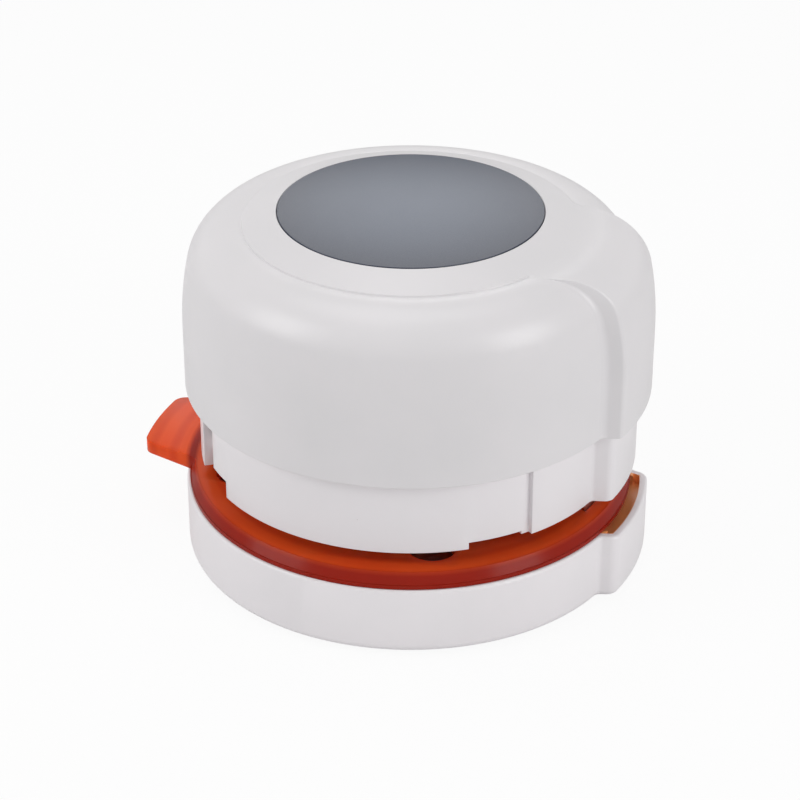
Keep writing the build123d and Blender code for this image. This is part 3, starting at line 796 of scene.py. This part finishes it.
def add_runner(shape, size, angle, radius, z):
    made = bmesh.ops.create_cube(shape, size=1)["verts"]
    bmesh.ops.scale(shape, vec=size, verts=made)
    bmesh.ops.translate(shape, vec=Vector((radius, 0, z)), verts=made)
    bmesh.ops.rotate(shape, matrix=Matrix.Rotation(radians(angle), 3, "Z"), verts=made)


def make_cap_bosses():
    shape = bmesh.new()
    spring_ring_r = middle_of("return_spring_1").to_2d().length
    for angle in spring_angles:
        centre = at_angle(spring_ring_r, angle)
        add_pin(shape, centre, spring_boss_r, spring_seat_z, roof_z + bury)
        add_pin(shape, centre, peg_r, peg_low_z, spring_seat_z + bury)
    for angle in leg_angles:
        centre = at_angle(leg_ring_r, angle)
        add_pin(shape, centre, leg_boss_r, leg_boss_z, roof_z + bury)
    inner_r = cap_r - cap_wall + bury
    for angle in lug_angles:
        add_runner(shape, lug_size, angle, inner_r - lug_size.x / 2, lug_middle_z)
    for angle in rib_angles:
        add_runner(shape, rib_size, angle, inner_r - rib_size.x / 2, cap_edge_z + rib_size.z / 2)
    bmesh.ops.recalc_face_normals(shape, faces=shape.faces)
    return make_piece("cap_bosses", shape, white_plastic, "press", None)


make_cap_bosses()

# %% [markdown]
# The housing, the base and the lock ring keep their CAD shapes, but a moulded edge is never a
# knife edge. A copy of each mesh is welded, its flat triangles are joined into whole faces, and
# then its sharp edges are rounded with a bevel.


# %% Rounded copies of CAD nodes
weld = 0.002 * mm
flat_angle = radians(0.4)
edge_angle = radians(32)
shell_edge = 0.2 * mm
ring_edge = 0.12 * mm


def joined_copy(name):
    shape = bmesh.new()
    shape.from_mesh(cad[name].data)
    bmesh.ops.remove_doubles(shape, verts=shape.verts, dist=weld)
    bmesh.ops.dissolve_limit(shape, angle_limit=flat_angle, verts=shape.verts, edges=shape.edges)
    return shape


def sharp_edges(shape):
    whole = [edge for edge in shape.edges if edge.is_manifold]
    return [edge for edge in whole if edge.calc_face_angle() > edge_angle]


def round_edges(shape, edges, radius):
    bmesh.ops.bevel(shape, geom=edges, offset=radius, segments=2, profile=0.5, affect="EDGES",
                    material=-1, offset_type="OFFSET", clamp_overlap=True)


def rounded_node(name, piece, material, body, radius):
    shape = joined_copy(name)
    edges = sharp_edges(shape)
    print(name, "has", len(edges), "sharp edges")
    round_edges(shape, edges, radius)
    return make_piece(piece, shape, material, body, name)


rounded_node("housing", "housing_shell", white_housing, "base", shell_edge)
rounded_node("base_tray", "base_shell", white_base, "base", shell_edge)
rounded_node("lock_ring", "lock_ring_clear", orange_clear, "lock", ring_edge)

# %% [markdown]
# The return springs shorten as the cap goes down. Each keeps its coil from the CAD, welded, in a
# mesh of its own on the base.


def make_coil(name):
    shape = bmesh.new()
    shape.from_mesh(cad[name].data)
    bmesh.ops.remove_doubles(shape, verts=shape.verts, dist=weld)
    coil = make_piece(name + "_coil", shape, bright_steel, "base", name)
    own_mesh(coil)


for name in list(cad):
    if "spring" in name:
        make_coil(name)

# %% [markdown]
# The stage is a plain pale floor under a white room. The floor keeps only a trace of the shadow:
# for the camera it is mostly a white glow, and a small share of the lit surface is mixed in.

# %% Floor
floor_half = 2.5
floor_tone = opaque(0.86, 0.86, 0.86)
glow_share = 0.92


def make_floor():
    shape = bmesh.new()
    bmesh.ops.create_grid(shape, x_segments=1, y_segments=1, size=floor_half)
    mesh = bpy.data.meshes.new("floor")
    shape.to_mesh(mesh)
    shape.free()
    floor = bpy.data.objects.new("floor", mesh)
    bpy.context.scene.collection.objects.link(floor)
    material = bpy.data.materials.new("pale_floor")
    material.use_nodes = True
    tree = material.node_tree
    shader = tree.nodes["Principled BSDF"]
    shader.inputs["Base Color"].default_value = floor_tone
    shader.inputs["Roughness"].default_value = 0.8
    shader.inputs["Specular IOR Level"].default_value = 0.2
    glow = put(tree, "Emission", Color=opaque(1, 1, 1), Strength=1.0)
    rays = put(tree, "LightPath")
    share = multiply(tree, rays.outputs["Is Camera Ray"], glow_share)
    mix_surfaces(tree, share, shader.outputs["BSDF"], glow.outputs["Emission"], "Material Output")
    mesh.materials.append(material)


make_floor()

# %% [markdown]
# The room is white where it is seen, straight, in a reflection or through the ring, and darker as a
# light, so that the white plastic keeps its shades. Large soft boxes add the direction: one overhead
# and one to each side. A small weak one behind gives the grey plate its sheen.

# %% Room and lamps
room_seen = 1.0
room_light = 0.45


def make_room():
    world = bpy.data.worlds.new("white_room")
    bpy.context.scene.world = world
    world.use_nodes = True
    tree = world.node_tree
    seen = tree.nodes["Background"]
    seen.inputs["Color"].default_value = opaque(1, 1, 1)
    seen.inputs["Strength"].default_value = room_seen
    lit = put(tree, "Background", Color=opaque(1, 1, 1), Strength=room_light)
    rays = put(tree, "LightPath")
    direct = combine(tree, "MAXIMUM", rays.outputs["Is Camera Ray"], rays.outputs["Is Glossy Ray"])
    any_view = combine(tree, "MAXIMUM", direct, rays.outputs["Is Transmission Ray"])
    mix_surfaces(tree, any_view, lit.outputs["Background"], seen.outputs["Background"], "World Output")


object_middle = Vector((0, 0, cap_top_z / 2))
camera_turn = Matrix.Rotation(camera_round, 3, "Z")
lamps = {"overhead_box": ((-60, -60, 620), (420, 420), 0.8),
         "left_box": ((200, -520, 330), (300, 360), 1.15),
         "right_box": ((330, 470, 240), (240, 360), 1.15),
         "back_box": ((-330, 8, 262), (70, 70), 0.06)}


def make_lamp(name, place, size, power):
    data = bpy.data.lights.new(name, "AREA")
    data.shape = "RECTANGLE"
    data.size, data.size_y = (side * mm for side in size)
    data.energy = power
    lamp = bpy.data.objects.new(name, data)
    lamp.location = camera_turn @ Vector(place) * mm
    lamp.rotation_euler = (object_middle - lamp.location).to_track_quat("-Z", "Y").to_euler()
    bpy.context.scene.collection.objects.link(lamp)


make_room()
for name, (place, size, power) in lamps.items():
    make_lamp(name, place, size, power)
bpy.context.scene.view_settings.view_transform = "Standard"
